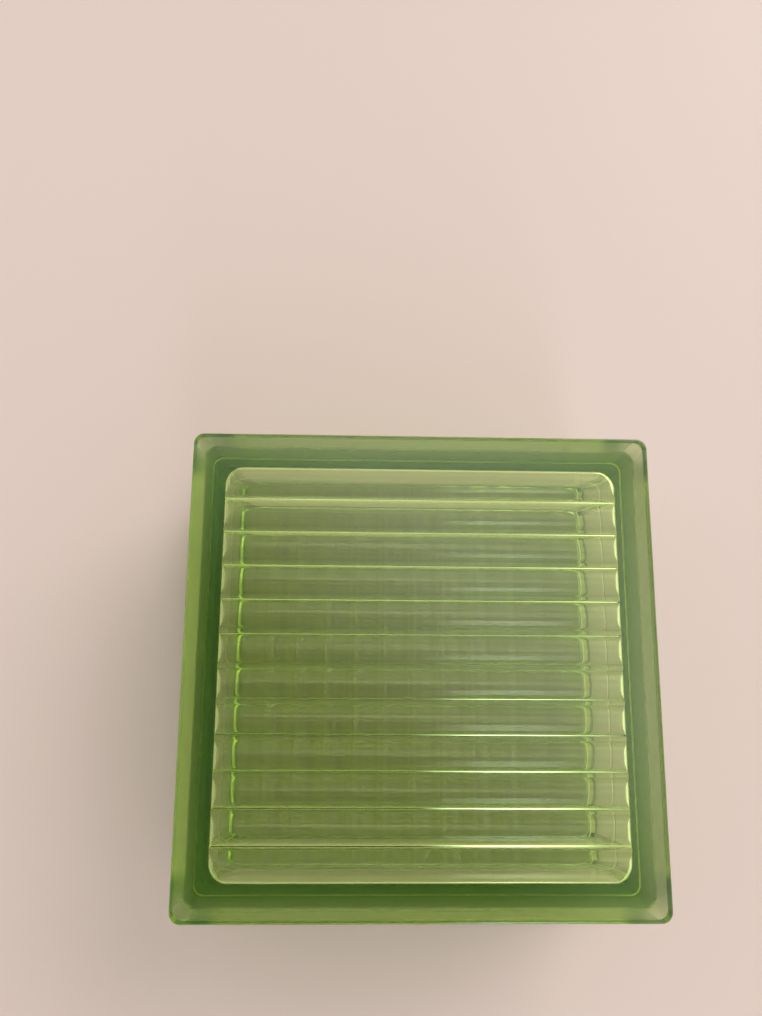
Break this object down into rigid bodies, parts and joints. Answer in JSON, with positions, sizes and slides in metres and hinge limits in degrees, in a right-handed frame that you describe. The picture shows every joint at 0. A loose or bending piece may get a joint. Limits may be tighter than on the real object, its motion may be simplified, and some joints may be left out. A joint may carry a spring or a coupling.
{
  "type": "glass block",
  "caption": "Square hollow glass block with crossed flutes inside its two flat panels and a mortar channel round its edges.",
  "frame": {"origin": "centre of the rear face, on the surface the block lies on", "axes": "+Z through the depth, from the rear face to the front face; X along the front panel's flutes, Y along the rear panel's flutes"},
  "size_m": [0.19, 0.19, 0.08],
  "materials": {
    "green_glass": "fire-polished, tinted green through its thickness"
  },
  "bodies": {
    "root": {"glass_block": "green_glass"}
  },
  "joints": []
}
